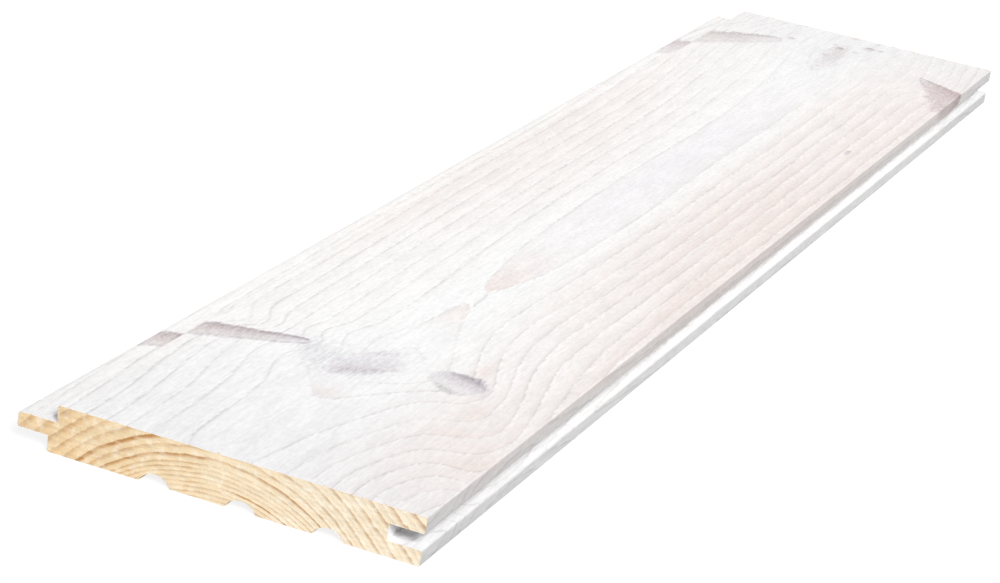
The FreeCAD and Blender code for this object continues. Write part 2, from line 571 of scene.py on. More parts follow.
    def fields(self, points: Array, normals: Array) -> dict[str, Array]:
        """Everything that the finishes read from the wood.

        Args:
            points: the places, one a row.
            normals: the surface's normals there.

        Returns:
            The fields by name, one value a place.
        """
        x, y, z = points.T
        soaked = np.clip(1.0 - (self.face - z) / self.stain_depth, 0.0, 1.0)
        near = bell((y - self.front) / self.near_end_reach)
        stains = {stain: np.zeros(len(points)) for stain in Stain}
        for patch in self.patches:
            stains[patch.stain] += patch.depth(x, y) * soaked
        return {
            "ring": self.rings(points),
            "crisp": self.crispness(points, normals),
            # greyer toward both ends: a bell at the near end and a weaker one at the far end
            "thin": near + self.far_end_share * bell((y + self.front) / self.far_end_reach),
            # painted shade: marks the sides that face across the board at the lips and the tongue's tip,
            # which the glazed finish draws greyer
            "side_shade": np.abs(normals[:, 0]) * (np.abs(x) > self.side_shade_from),
            "rim": np.abs(self.front) - np.abs(y),
            **{stain.value: np.clip(depth, 0.0, 1.0) for stain, depth in stains.items()},
            **self.knots(points),
        }


@dataclass(frozen=True)
class Weave:
    """A noise along the grain: the size of its cells in millimetres, and its finer layers."""

    across: float
    along: float
    detail: float = 2.0
    roughness: float = 0.5


@dataclass(frozen=True)
class Streak:
    """A noise that follows the rings: its cells to a ring and to a metre, its layer, and its detail."""

    per_ring: float
    per_metre: float
    layer: float
    detail: float = 2.0
    roughness: float = 0.5


Scalar = Union[float, "Socket"]


class Socket:
    """A node's output. Arithmetic on it adds Math nodes, so shader maths reads as an expression."""

    def __init__(self, shader: "Shader", source: bpy.types.NodeSocket) -> None:
        """Keeps the output and the shader that it belongs to."""
        self.shader = shader
        self.source = source

    def math(self, operation: str, *values: Scalar, clamp: bool = False) -> "Socket":
        """Adds a Math node.

        Args:
            operation: what the node does.
            values: its inputs, in order.
            clamp: whether the result is kept between 0 and 1.

        Returns:
            The node's result.
        """
        settings = {"operation": operation, "use_clamp": clamp}
        return self.shader.node("ShaderNodeMath", settings, dict(enumerate(values)))

    def __add__(self, other: Scalar) -> "Socket":
        """The sum."""
        return self.math("ADD", self, other)

    __radd__ = __add__

    def __sub__(self, other: Scalar) -> "Socket":
        """The difference."""
        return self.math("SUBTRACT", self, other)

    def __rsub__(self, other: Scalar) -> "Socket":
        """The difference from a number."""
        return self.math("SUBTRACT", other, self)

    def __mul__(self, other: Scalar) -> "Socket":
        """The product."""
        return self.math("MULTIPLY", self, other)

    __rmul__ = __mul__

    def __truediv__(self, other: Scalar) -> "Socket":
        """The quotient."""
        return self.math("DIVIDE", self, other)

    def __rtruediv__(self, other: Scalar) -> "Socket":
        """The quotient of a number."""
        return self.math("DIVIDE", other, self)

    def __pow__(self, other: Scalar) -> "Socket":
        """The power."""
        return self.math("POWER", self, other)

    def __rpow__(self, other: Scalar) -> "Socket":
        """The power of a number."""
        return self.math("POWER", other, self)

    def exp(self) -> "Socket":
        """The exponential."""
        return self.math("EXPONENT", self)

    def bell(self) -> "Socket":
        """A smooth hump, 1 at 0 and nothing past about 2."""
        return (self ** 2.0 * -1.0).exp()

    def part(self) -> "Socket":
        """What is left over the whole number below."""
        return self.math("FRACT", self)

    def floor(self) -> "Socket":
        """The whole number below."""
        return self.math("FLOOR", self)

    def equals(self, number: float) -> "Socket":
        """1 where the value is this whole number, and 0 elsewhere."""
        return self.math("COMPARE", self, number, 0.5)

    def clamped(self) -> "Socket":
        """The value, kept between 0 and 1."""
        return self.math("ADD", self, 0.0, clamp=True)

    def ramp(self, low: float, high: float) -> "Socket":
        """A smooth step from 0 to 1.

        Args:
            low: where it is 0.
            high: where it is 1, which may be the lower number.

        Returns:
            The step.
        """
        values = {0: self, 1: low, 2: high}
        if low > high:
            values = {0: self, 1: high, 2: low, 3: 1.0, 4: 0.0}
        return self.shader.node("ShaderNodeMapRange", {"interpolation_type": "SMOOTHSTEP"}, values)


class Shader:
    """The nodes of one material, or of the surroundings."""

    def __init__(self, owner: Union[bpy.types.Material, bpy.types.World]) -> None:
        """Starts with no nodes.

        Args:
            owner: the material or the world that the nodes belong to.
        """
        owner.use_nodes = True
        self.owner = owner
        self.tree = owner.node_tree
        self.tree.nodes.clear()

    def node(
        self,
        kind: str,
        settings: dict[str, Any],
        sockets: dict[Union[int, str], Any],
        output: Union[int, str] = 0,
    ) -> Socket:
        """Adds a node.

        Args:
            kind: the node's type.
            settings: its properties, which are set first.
            sockets: values or links of its inputs, by number or name.
            output: the output that is wanted, by number or name.

        Returns:
            That output.
        """
        made = self.tree.nodes.new(kind)
        for name, value in settings.items():
            setattr(made, name, value)
        for key, value in sockets.items():
            if isinstance(value, Socket):
                self.tree.links.new(value.source, made.inputs[key])
            else:
                made.inputs[key].default_value = value
        return Socket(self, made.outputs[output] if made.outputs else None)

    def field(self, name: str) -> Socket:
        """Reads one of the wood's fields from the mesh."""
        return self.node("ShaderNodeAttribute", {"attribute_name": name}, {}, "Fac")

    def place(self) -> Socket:
        """Where the point is on the board, in metres."""
        return self.node("ShaderNodeTexCoord", {}, {}, "Object")

    def axes(self, vector: Socket) -> list[Socket]:
        """The three parts of a vector."""
        parts = self.node("ShaderNodeSeparateXYZ", {}, {0: vector})
        return [Socket(self, output) for output in parts.source.node.outputs]

    def vector(self, x: Scalar, y: Scalar, z: Scalar) -> Socket:
        """A vector made from three values."""
        return self.node("ShaderNodeCombineXYZ", {}, {0: x, 1: y, 2: z})

    def noise(self, vector: Socket, detail: float = 2.0, roughness: float = 0.5) -> Socket:
        """Soft noise from 0 to 1, one cell to a unit of the vector."""
        values = {"Vector": vector, "Scale": 1.0, "Detail": detail, "Roughness": roughness}
        return self.node("ShaderNodeTexNoise", {"noise_dimensions": "3D"}, values, "Fac")

    def grain(self, place: Socket, weave: Weave) -> Socket:
        """Noise drawn out along the board.

        Args:
            place: where the point is on the board.
            weave: the size of the noise's cells, and its finer layers.

        Returns:
            The noise, from 0 to 1.
        """
        across, along = 1.0 / (weave.across * MM), 1.0 / (weave.along * MM)
        values = {0: place, 1: (across, along, across)}
        cells = self.node("ShaderNodeVectorMath", {"operation": "MULTIPLY"}, values)
        return self.noise(cells, weave.detail, weave.roughness)

    def streaks(self, ring: Socket, along: Socket, streak: Streak) -> Socket:
        """Noise that changes from ring to ring and along the board, from 0 to 1."""
        cells = self.vector(ring * streak.per_ring, along * streak.per_metre, streak.layer)
        return self.noise(cells, streak.detail, streak.roughness)

    def mix(self, share: Scalar, first: Any, second: Any) -> Socket:
        """Mixes two colours.

        Args:
            share: how much of the second colour.
            first: the first colour, as a value or a link.
            second: the second colour, as a value or a link.

        Returns:
            The mixed colour.
        """
        colours = [c if isinstance(c, Socket) else (*c, 1.0) for c in (first, second)]
        values = {0: share, 6: colours[0], 7: colours[1]}
        return self.node("ShaderNodeMix", {"data_type": "RGBA"}, values, 2)

    def scaled(self, colour: Socket, factor: Scalar) -> Socket:
        """A colour made lighter or darker."""
        return self.node("ShaderNodeVectorMath", {"operation": "SCALE"}, {0: colour, "Scale": factor})

    def bump(self, height: Socket, distance: float, strength: float) -> Socket:
        """A normal that follows a height, whose full range is distance in metres."""
        values = {"Height": height, "Distance": distance, "Strength": strength}
        return self.node("ShaderNodeBump", {}, values)

    def surface(self, sockets: dict[str, Any]) -> bpy.types.Material:
        """Ends the material with a Principled shader.

        Args:
            sockets: the values and links of its inputs.

        Returns:
            The material.
        """
        shader = self.node("ShaderNodeBsdfPrincipled", {}, sockets)
        self.node("ShaderNodeOutputMaterial", {}, {"Surface": shader})
        return self.owner


@dataclass(frozen=True)
class GlazedPine:
    """White glaze over brushed pine: the grain, the knots and the resin show faintly through it."""

    name: str = "glazed_pine"
    glaze: Colour = srgb(251, 251, 251)
    # the greyer colour that the glaze turns toward both ends of the board
    end_grey: Colour = srgb(241, 241, 242)
    resin: Colour = srgb(241, 230, 226)
    cream: Colour = srgb(250, 243, 234)
    heartwood: Colour = srgb(241, 229, 225)
    bloom: Colour = srgb(240, 235, 240)
    smoke: Colour = srgb(216, 214, 218)
    latewood: Colour = srgb(200, 194, 191)
    grey_knot: Colour = srgb(218, 212, 217)
    tan_knot: Colour = srgb(198, 185, 184)
    red_knot: Colour = srgb(191, 167, 168)
    bark: Colour = srgb(162, 152, 160)
    bare: Colour = srgb(236, 211, 170)
    roughness: float = 0.85
    roughness_range: float = 0.16
    gloss: float = 0.06
    # painted shade: how much greyer the glazed sides that face across the board are drawn
    painted_side_shade: float = 0.245
    bark_line: float = 1.14
    bark_sharpness: float = 3.2
    strand_fray: float = 2.6
    fleck_fray: float = 1.6
    ring_drift: float = 0.05
    outer_fall: float = 2.5
    halo_fall: float = 0.28
    halo_strength: float = 0.04
    second_line: float = 0.45
    second_strength: float = 0.35
    # how much stronger the year lines are drawn toward both ends of the board
    end_line_gain: float = 0.4
    smoke_strength: float = 0.75
    chip_from: float = 0.6
    chip_depth: float = 7.0
    tooth_depth: float = 0.4
    bump_height: float = 0.0002
    bump_strength: float = 0.7
    strands: Weave = Weave(0.8, 12.0, 4.0, 0.65)
    flecks: Weave = Weave(1.0, 3.0, 3.0, 0.7)
    mottle: Weave = Weave(5.0, 18.0, 3.0)
    clouds: Weave = Weave(24.0, 110.0)
    chips: Weave = Weave(2.2, 2.2)
    drift: Streak = Streak(5.0, 26.0, 0.5, 3.0, 0.6)
    fading: Streak = Streak(3.7, 14.0, 2.5)
    coming: Streak = Streak(5.3, 20.0, 7.5)

    def material(self) -> bpy.types.Material:
        """Builds the material from the wood's fields.

        Returns:
            The material.
        """
        layers = GlazeLayers(self)
        shader = layers.shader
        colour = layers.ground()
        for layer in (layers.lined, layers.knotted, layers.chipped):
            colour = layer(colour)
        height = layers.strands * 0.5 + layers.flecks * 0.35 + layers.line * 0.1
        # painted shade: the sides that face across the board are drawn greyer, in place of the shade they
        # lie in
        side_shade = 1.0 - self.painted_side_shade * shader.field("side_shade")
        return shader.surface({
            "Base Color": shader.scaled(colour, layers.level() * side_shade),
            "Roughness": self.roughness + self.roughness_range * (layers.flecks - 0.5),
            "Specular IOR Level": self.gloss,
            "Normal": shader.bump(height, self.bump_height, self.bump_strength),
        })


class GlazeLayers:
    """The layers of the glazed finish, from the glaze itself to the chips at the rims of the ends."""

    def __init__(self, finish: GlazedPine) -> None:
        """Makes the noises and masks that the layers share.

        Args:
            finish: the finish that the layers belong to.
        """
        self.finish = finish
        self.shader = shader = Shader(bpy.data.materials.new(finish.name))
        place = shader.place()
        along = shader.axes(place)[1]
        self.ring, self.crisp, self.thin = [shader.field(name) for name in ("ring", "crisp", "thin")]
        self.lee, self.tone, self.strength = [shader.field(name) for name in ("lee", "tone", "strength")]
        self.strands = shader.grain(place, finish.strands)
        self.flecks = shader.grain(place, finish.flecks)
        self.mottle = shader.grain(place, finish.mottle)
        self.clouds = shader.grain(place, finish.clouds)
        self.chips = shader.grain(place, finish.chips)
        self.coming = shader.streaks(self.ring.floor(), along, finish.coming)
        fading = shader.streaks((self.ring + 0.5).floor(), along, finish.fading)
        drift = shader.streaks(self.ring, along, finish.drift)
        self.spark = self.flecks.ramp(0.36, 0.64)

        # what shows of a branch, of the smoke, and of the lines beside them
        worn = shader.field("knot") + (self.strands - 0.5) * 0.25 + (self.flecks - 0.5) * 0.35
        inward = (finish.bark_line - worn) * self.strength * finish.bark_sharpness
        self.branch = inward.clamped() * self.strength
        speckle = 0.2 + 0.5 * self.strands.ramp(0.62, 0.42) + 0.6 * (1.0 - self.spark)
        self.smoke = (shader.field("smoke") * speckle).clamped()
        self.shown = (1.0 - self.branch) * (1.0 - 0.7 * self.smoke) * (1.0 - shader.field("fade"))
        self.faint = (fading.ramp(0.28, 0.62) * 0.65 + 0.35) * self.shown

        # the rings with frayed edges, and the line that ends each year
        fray = (self.strands - 0.5) * finish.strand_fray + (self.flecks - 0.5) * finish.fleck_fray
        self.count = self.ring + fray / self.crisp + (drift - 0.5) * finish.ring_drift
        self.year = self.count.part()
        self.inner = (1.0 - self.year) * self.crisp
        self.line = self.inner.bell() + (self.year * self.crisp * finish.outer_fall).bell()

    def ground(self) -> Socket:
        """Lays the glaze, with the stains that show through it.

        Returns:
            The colour so far.
        """
        shader, finish = self.shader, self.finish
        inside = self.ring.ramp(0.0, -0.012)
        patchy = (0.65 + 0.35 * self.year) * (0.4 + 0.6 * self.clouds + 0.6 * self.coming)
        # the first layer greys the glaze toward both ends of the board
        stains = (
            (self.thin, finish.end_grey),
            (shader.field("cream"), finish.cream),
            ((shader.field("warm") * patchy).clamped(), finish.resin),
            (shader.field("bloom") * inside, finish.bloom),
            (shader.field("heart") * inside * (1.0 - 0.35 * self.spark), finish.heartwood),
            (self.smoke * finish.smoke_strength, finish.smoke),
        )
        colour = finish.glaze
        for share, stain in stains:
            colour = shader.mix(share, colour, stain)
        return colour

    def lined(self, colour: Socket) -> Socket:
        """Draws the lines of the years: each with a soft halo, and a second one half way here and there.

        Args:
            colour: the colour so far.

        Returns:
            The colour with the lines.
        """
        finish = self.finish
        halo = (self.inner * finish.halo_fall).bell()
        middle = ((self.count + finish.second_line).part() - 0.5) * self.crisp
        second = middle.bell() * self.coming.ramp(0.4, 0.7)
        broken = 0.08 + 0.2 * self.strands.ramp(0.62, 0.4) + 0.12 * self.flecks.ramp(0.62, 0.42)
        drawn = self.line * self.faint + second * self.shown * finish.second_strength
        drawn = drawn * broken * (1.0 + finish.end_line_gain * self.thin)
        ink = drawn + halo * self.faint * finish.halo_strength
        return self.shader.mix(ink.clamped(), colour, finish.latewood)

    def knotted(self, colour: Socket) -> Socket:
        """Lays the branches on, with bark along their lee sides.

        Args:
            colour: the colour so far.

        Returns:
            The colour with the branches.
        """
        shader, finish = self.shader, self.finish
        shade = self.tone + (self.mottle - 0.5) * 0.7
        tint = shader.mix(shade.ramp(0.0, 0.5), finish.grey_knot, finish.tan_knot)
        tint = shader.mix(shade.ramp(0.5, 1.0), tint, finish.red_knot)
        plain = self.tone.ramp(0.0, 0.5)
        lit = 0.44 + 0.14 * plain + (0.84 - 0.4 * plain) * self.lee.ramp(-0.6, 0.7)
        colour = shader.mix(self.branch * lit * (1.0 - 0.35 * self.spark), colour, tint)
        sides = self.lee.ramp(0.25, 0.75) * 0.85 + self.lee.ramp(-0.5, -0.95) * 0.5
        bark = self.branch * (sides * self.strength * self.tone.ramp(1.0, 0.0)) * (1.0 - 0.5 * self.spark)
        return shader.mix(bark.clamped(), colour, finish.bark)

    def chipped(self, colour: Socket) -> Socket:
        """Chips the glaze away at the rims of the ends.

        Args:
            colour: the colour so far.

        Returns:
            The colour with the chips.
        """
        finish = self.finish
        teeth = self.year.ramp(0.1, 0.35) * self.year.ramp(0.85, 0.6)
        reach = (self.chips - finish.chip_from) * finish.chip_depth + teeth * finish.tooth_depth
        torn = reach - self.shader.field("rim")
        return self.shader.mix(torn.ramp(-0.15, 0.15), colour, finish.bare)

    def level(self) -> Socket:
        """Works out the fine lights and darks of the brushed surface, with painted highlights: bright
        specks, and glints beside the year lines.

        Returns:
            The factor that the colour is scaled by.
        """
        bright, cloudy = self.strands.ramp(0.3, 0.7), self.mottle.ramp(0.35, 0.65)
        painted_glint = (self.year * self.crisp * 0.45 - 0.6).bell() * self.spark * self.faint
        # painted highlights: the bright specks and the glints beside the lines are drawn lighter; the
        # strands and the mottling are the brushed surface's own
        return 0.9 + 0.075 * bright + 0.065 * self.spark + 0.035 * cloudy + 0.03 * painted_glint


@dataclass(frozen=True)
class BarePine:
    """Planed pine without a finish, as on the back."""

    name: str = "bare_pine"
    earlywood: Colour = srgb(243, 226, 196)
    latewood: Colour = srgb(213, 173, 124)
    knot: Colour = srgb(164, 116, 76)
    bark: Colour = srgb(104, 72, 50)
    roughness: float = 0.6
    gloss: float = 0.3
    bump_height: float = 0.0001
    bump_strength: float = 0.5
    fibres: Weave = Weave(0.7, 11.0, 3.0, 0.6)
    clouds: Weave = Weave(20.0, 125.0)
    streaks: Streak = Streak(5.0, 20.0, 0.5, 3.0, 0.6)

    def material(self) -> bpy.types.Material:
        """Builds the material from the wood's fields.

        Returns:
            The material.
        """
        shader = Shader(bpy.data.materials.new(self.name))
        place = shader.place()
        along = shader.axes(place)[1]
        ring, knot = shader.field("ring"), shader.field("knot")
        fibres = shader.grain(place, self.fibres)
        clouds = shader.grain(place, self.clouds)
        streaks = shader.streaks(ring, along, self.streaks)
        year = (ring + (fibres - 0.5) * 0.08 + (streaks - 0.5) * 0.05).part()
        line = (year ** 3.0) * year.ramp(1.0, 0.93)
        dark = line * 0.75 + (clouds - 0.5) * 0.3
        colour = shader.mix(dark.clamped(), self.earlywood, self.latewood)
        heart = (knot + (fibres - 0.5) * 0.35).ramp(1.05, 0.9)
        swirl = (knot * 8.0 + streaks * 2.0).part()
        colour = shader.mix(heart * (0.6 + 0.3 * swirl), colour, self.knot)
        colour = shader.mix(heart * knot.ramp(0.82, 1.0) * 0.8, colour, self.bark)
        colour = shader.scaled(colour, 0.93 + 0.1 * fibres)
        return shader.surface({
            "Base Color": colour,
            "Roughness": self.roughness + 0.15 * (fibres - 0.5),
            "Specular IOR Level": self.gloss,
            "Normal": shader.bump(fibres + line * 0.3, self.bump_height, self.bump_strength),
        })


@dataclass(frozen=True)
class StrongRing:
    """A ring that is darker over part of the end: from where it starts to where it is full, in metres."""

    number: float
    strength: float
    start: float
    full: float


@dataclass(frozen=True)
class SawnPine:
    """End grain as the saw leaves it: bare, with dark latewood arcs and a rough nap."""

    name: str = "sawn_pine"
    earlywood: Colour = srgb(248, 230, 198)
    latewood: Colour = srgb(192, 142, 88)
    toasted: Colour = srgb(236, 205, 157)
    pale: Colour = srgb(254, 245, 225)
    roughness: float = 0.75
    gloss: float = 0.2
    bump_height: float = 0.00025
    bump_strength: float = 0.6
    nap: Weave = Weave(0.6, 3.3, 3.0, 0.65)
    clouds: Weave = Weave(7.0, 33.0)
    blots: Weave = Weave(2.6, 12.0)
    cloud_fray: float = 0.3
    blot_fray: float = 0.22
    nap_fray: float = 0.14
    stroke_across: tuple[float, float] = (150.0, 200.0)
    stroke_along: tuple[float, float] = (60.0, -900.0)
    left: tuple[float, float] = (0.015, -0.045)
    right: tuple[float, float] = (0.005, 0.035)
    first_ring: float = 0.0
    strong_rings: tuple[StrongRing, ...] = (
        StrongRing(-5.0, 1.0, 0.001, 0.009),
        StrongRing(2.0, 0.7, 0.01, -0.01),
    )

    def material(self) -> bpy.types.Material:
        """Builds the material from the wood's fields.

        Returns:
            The material.
        """
        shader = Shader(bpy.data.materials.new(self.name))
        place = shader.place()
        ring = shader.field("ring")
        x, y, z = shader.axes(place)
        nap = shader.grain(place, self.nap)
        clouds = shader.grain(place, self.clouds)
        blots = shader.grain(place, self.blots)
        across = x * self.stroke_across[0] + z * self.stroke_across[1]
        along = x * self.stroke_along[0] + z * self.stroke_along[1]
        strokes = shader.noise(shader.vector(across, along, y))
        patches, pale, smear = clouds.ramp(0.3, 0.7), blots.ramp(0.45, 0.7), strokes.ramp(0.35, 0.65)
        count = ring + (clouds - 0.5) * self.cloud_fray + (blots - 0.5) * self.blot_fray
        count = count + (nap - 0.5) * self.nap_fray
        left, right = x.ramp(*self.left), x.ramp(*self.right)
        year = count.part()
        line = (year - 0.14 * right).ramp(0.38, 0.86) * year.ramp(1.02, 0.92)
        between = (count + 0.5).part()
        extra = between.ramp(0.6, 0.92) * between.ramp(1.0, 0.92)
        whole = count.floor()
        strong = 0.42 + 0.1 * left + 0.3 * right + 0.4 * whole.equals(self.first_ring)
        for strong_ring in self.strong_rings:
            here = whole.equals(strong_ring.number) * x.ramp(strong_ring.start, strong_ring.full)
            strong = strong + strong_ring.strength * here
        ground = shader.mix((left * 0.6 + patches * 0.25).clamped(), self.earlywood, self.toasted)
        ground = shader.mix(pale * 0.5 + right * 0.45, ground, self.pale)
        dark = (line * strong + extra * right * 0.2) * (0.55 + 0.6 * patches) * (1.1 - 0.3 * smear)
        colour = shader.mix((dark * (1.0 - 0.35 * pale)).clamped(), ground, self.latewood)
        return shader.surface({
            "Base Color": shader.scaled(colour, 0.835 + 0.17 * nap + 0.08 * smear),
            "Roughness": self.roughness + 0.2 * (nap - 0.5),
            "Specular IOR Level": self.gloss,
            "Normal": shader.bump(nap + strokes * 0.5, self.bump_height, self.bump_strength),
        })


def clearance(points: Array, rim: Array) -> Array:
    """Measures how far points are inside an outline.

    Args:
        points: the places, one a row.
        rim: the corners of the outline, in order.

    Returns:
        The distance of each place from the outline, below 0 where it is outside.
    """
    following = np.roll(rim, -1, axis=0)
    run = following - rim
    above = (rim[:, 1] > points[:, 1:2]) != (following[:, 1] > points[:, 1:2])
    with np.errstate(divide="ignore", invalid="ignore"):
        cross = rim[:, 0] + (points[:, 1:2] - rim[:, 1]) / run[:, 1] * run[:, 0]
    inside = (above & (points[:, :1] < cross)).sum(1) % 2 == 1
    away = points[:, None] - rim
    share = np.clip((away * run).sum(2) / (run ** 2).sum(1), 0.0, 1.0)
    gap = np.linalg.norm(away - share[..., None] * run, axis=2).min(1)
    return np.where(inside, gap, -gap)


@dataclass
class Board:
    """The board itself: the section run along the length, brushed on its face and sawn at its ends."""

    length: float
    section: Section
    wood: Wood
    name: str = "glazed_board"
    node: str = "board"
    body: str = "root"
    slot: str = "glazed_wood"
    whorls: tuple[float, float] = (-205.0, 245.0)
    whorl_reach: float = 46.0
    near_step: float = 1.35
    far_step: float = 4.4
    end_step: float = 0.45
    samples: int = 4001
    brush_depth: float = 0.075
    plane_depth: float = 0.03
    ridge_share: float = 0.16
    fibre_share: float = 0.3
    fibre_cell: Triple = (0.9, 14.0, 0.9)
    least_wear: float = 0.55
    wear_cell: Triple = (6.0, 30.0, 6.0)
    saw_depth: float = 0.16
    torn_share: float = 0.6
    torn_cell: Triple = (0.8, 5.0, 0.8)
    sweep_slant: float = 1.3
    sweep_turn: float = 0.4
    sweep_cell: Triple = (2.4, 5.0, 14.0)
    nap_step: float = 0.72
    nap_jitter: float = 0.2
    nap_margin: float = 0.45
    seed: int = 5
    sharp_angle: float = math.radians(38.0)
    strip_share: float = 0.94
    cap_start: float = 0.95
    cap_width: float = 0.48
    cap_margin: float = 0.01

    def stations(self) -> Array:
        """Chooses where the section is repeated along the length: closer together at the knots.

        Returns:
            The places, from the near end to the far one.
        """
        half = self.length / 2
        fine = np.linspace(-half, half, self.samples)
        near = sum(bell((fine - whorl) / self.whorl_reach) for whorl in self.whorls)
        sparse, dense = 1.0 / self.far_step, 1.0 / self.near_step
        density = sparse + (dense - sparse) * np.minimum(near, 1.0)
        count = np.concatenate([[0.0], np.cumsum((density[1:] + density[:-1]) / 2 * np.diff(fine))])
        places = np.interp(np.linspace(0.0, count[-1], round(count[-1]) + 1), count, fine)
        return np.concatenate([places[:1], [self.end_step - half], places[1:-1],
                               [half - self.end_step], places[-1:]])

    def brushed(self, points: Array, brushing: Array) -> Array:
        """How deep brushing and planing have worn the surface, all inward.

        Args:
            points: the places on the plain surface, one a row.
            brushing: how much of the face's brushing each place has.

        Returns:
            The depth at each place.
        """
        year = self.wood.rings(points) % 1.0
        soft = 1.0 - bell((1.0 - year) / self.ridge_share)
        fibre = 0.5 + 0.5 * self.wood.ripple(points, self.fibre_cell)
        wear = 0.5 + 0.5 * self.wood.ragged(points, self.wear_cell)
        worn = soft * (self.least_wear + (1.0 - self.least_wear) * wear)
        grain = worn * (1.0 - self.fibre_share) + fibre * self.fibre_share
        return grain * (self.plane_depth + (self.brush_depth - self.plane_depth) * brushing)

    def side_points(self) -> tuple[Array, Array, Array]:
        """The section's points at every station, with the relief carved in.

        Returns:
            The points and the plain surface's normals, both as (stations, outline, 3), and the finish
            from each outline point to the next.
        """
        outline, sides, brushing = self.section.outline()
        stations = self.stations()
        run = np.roll(outline, -1, axis=0) - np.roll(outline, 1, axis=0)
        inward = np.stack([-run[:, 1], run[:, 0]], 1) / np.linalg.norm(run, axis=1)[:, None]
        grid = np.empty((len(stations), len(outline), 3))
        grid[:, :, 0], grid[:, :, 2] = outline[:, 0], outline[:, 1]
        grid[:, :, 1] = stations[:, None]
        depth = self.brushed(grid.reshape(-1, 3), np.tile(brushing, len(stations)))
        depth = depth.reshape(len(stations), len(outline))
        grid[:, :, 0] += inward[:, 0] * depth
        grid[:, :, 2] += inward[:, 1] * depth
        for row, toward in ((0, 1.0), (-1, -1.0)):
            grid[row, :, 1] += toward * self.sawn(grid[row])
        normals = np.zeros_like(grid)
        normals[:, :, 0], normals[:, :, 2] = -inward[:, 0], -inward[:, 1]
        return grid, normals, sides

    def sawn(self, points: Array) -> Array:
        """How deep the saw has torn an end, all inward.

        Args:
            points: the places on the plain end, one a row.

        Returns:
            The depth at each place.
        """
        x, y, z = points.T
        torn = 0.5 + 0.5 * self.wood.ragged(points, self.torn_cell)
        turned = np.stack([x + self.sweep_slant * z, y, z - self.sweep_turn * x], 1)
        sweep = 0.5 + 0.5 * self.wood.ripple(turned, self.sweep_cell)
        return self.saw_depth * (self.torn_share * torn + (1.0 - self.torn_share) * sweep)

    def cap(self, rim: Array) -> tuple[Array, list[list[int]]]:
        """Fills an end with a fine net of triangles.

        Args:
            rim: the end's outline, as x and z.

        Returns:
            The points inside the rim, and the triangles, whose numbers count the rim first.
        """
        random = np.random.default_rng(self.seed)
        low, high = rim.min(0), rim.max(0)
        columns, rows = [np.arange(low[axis], high[axis], self.nap_step) for axis in (0, 1)]
        grid = np.stack(np.meshgrid(columns, rows), -1).reshape(-1, 2)
        grid = grid + random.uniform(-self.nap_jitter, self.nap_jitter, grid.shape) * self.nap_step
        kept = grid[clearance(grid, rim) > self.nap_margin * self.nap_step]
        places = [Vector(p) for p in np.concatenate([rim, kept])]
        made = delaunay_2d_cdt(places, [], [list(range(len(rim)))], 1, SAME_PLACE)
        origin = [sources[0] for sources in made[3]]
        return kept, [[origin[corner] for corner in face] for face in made[2]]

    def mesh(self) -> bpy.types.Mesh:
        """Makes the mesh with its finishes, the wood's fields and the map that a bake can use.

        Returns:
            The mesh, in metres.
        """
        grid, normals, sides = self.side_points()
        rows, columns = grid.shape[:2]
        outline = self.section.outline()[0]
        inner, triangles = self.cap(outline)
        numbers = np.arange(rows * columns).reshape(rows, columns)
        after = np.roll(numbers, -1, axis=1)
        quads = np.stack([numbers[:-1], numbers[1:], after[1:], after[:-1]], -1).reshape(-1, 4)

        points, facing = [grid.reshape(-1, 3)], [normals.reshape(-1, 3)]
        faces = quads.tolist()
        finish = [np.tile(sides, rows - 1)]
        half, total = self.length / 2, rows * columns
        for row, end, toward in ((0, -half, 1.0), (rows - 1, half, -1.0)):
            nap = np.stack([inner[:, 0], np.full(len(inner), end), inner[:, 1]], 1)
            nap[:, 1] += toward * self.sawn(nap)
            points.append(nap)
            facing.append(np.tile([0.0, -toward, 0.0], (len(nap), 1)))
            ids = np.concatenate([numbers[row], total + np.arange(len(inner))])
            total += len(inner)
            corners = ids[np.array(triangles)]
            faces += (corners if toward > 0.0 else corners[:, ::-1]).tolist()
            finish.append(np.full(len(triangles), Side.SAWN.value))

        places = np.concatenate(points)
        mesh = bpy.data.meshes.new(self.name)
        mesh.from_pydata((places * MM).tolist(), [], faces)
        mesh.polygons.foreach_set("material_index", np.concatenate(finish).astype(np.int32))
        for name, values in self.wood.fields(places, np.concatenate(facing)).items():
            layer = mesh.attributes.new(name, "FLOAT", "POINT")
            layer.data.foreach_set("value", values.astype(np.float32))
        self.map(mesh, places, outline, rows)
        mesh.shade_smooth()
        mesh.set_sharp_from_angle(angle=self.sharp_angle)
        mesh.validate()
        mesh.update()
        return mesh

    def map(self, mesh: bpy.types.Mesh, places: Array, outline: Array, rows: int) -> None:
        """Lays the sides out as one strip, with the two ends beside each other above it.

        Args:
            mesh: the mesh to lay out.
            places: its points, in millimetres.
            outline: the section's outline, as x and z.
            rows: the number of stations.
        """
        columns = len(outline)
        corner = np.empty(len(mesh.loops), np.int32)
        mesh.loops.foreach_get("vertex_index", corner)
        strip = (rows - 1) * columns * 4
        lengths = np.linalg.norm(np.roll(outline, -1, axis=0) - outline, axis=1)
        around = np.concatenate([[0.0], np.cumsum(lengths)]) / lengths.sum()
        uv = np.empty((len(corner), 2))
        column = np.tile(np.arange(columns)[:, None] + [0, 0, 1, 1], (rows - 1, 1)).reshape(-1)
        uv[:strip, 0] = around[column]
        uv[:strip, 1] = (places[corner[:strip], 1] / self.length + 0.5) * self.strip_share
        ends = places[corner[strip:]]
        across = (ends[:, 0] / self.section.width + 0.5) * self.cap_width
        uv[strip:, 0] = across + 0.5 * (ends[:, 1] > 0.0) + self.cap_margin
        height = 1.0 - self.cap_start - self.cap_margin / 2
        uv[strip:, 1] = self.cap_start + ends[:, 2] / self.section.thickness * height
        mesh.uv_layers.new(name=UV_NAME).data.foreach_set("uv", uv.astype(np.float32).reshape(-1))

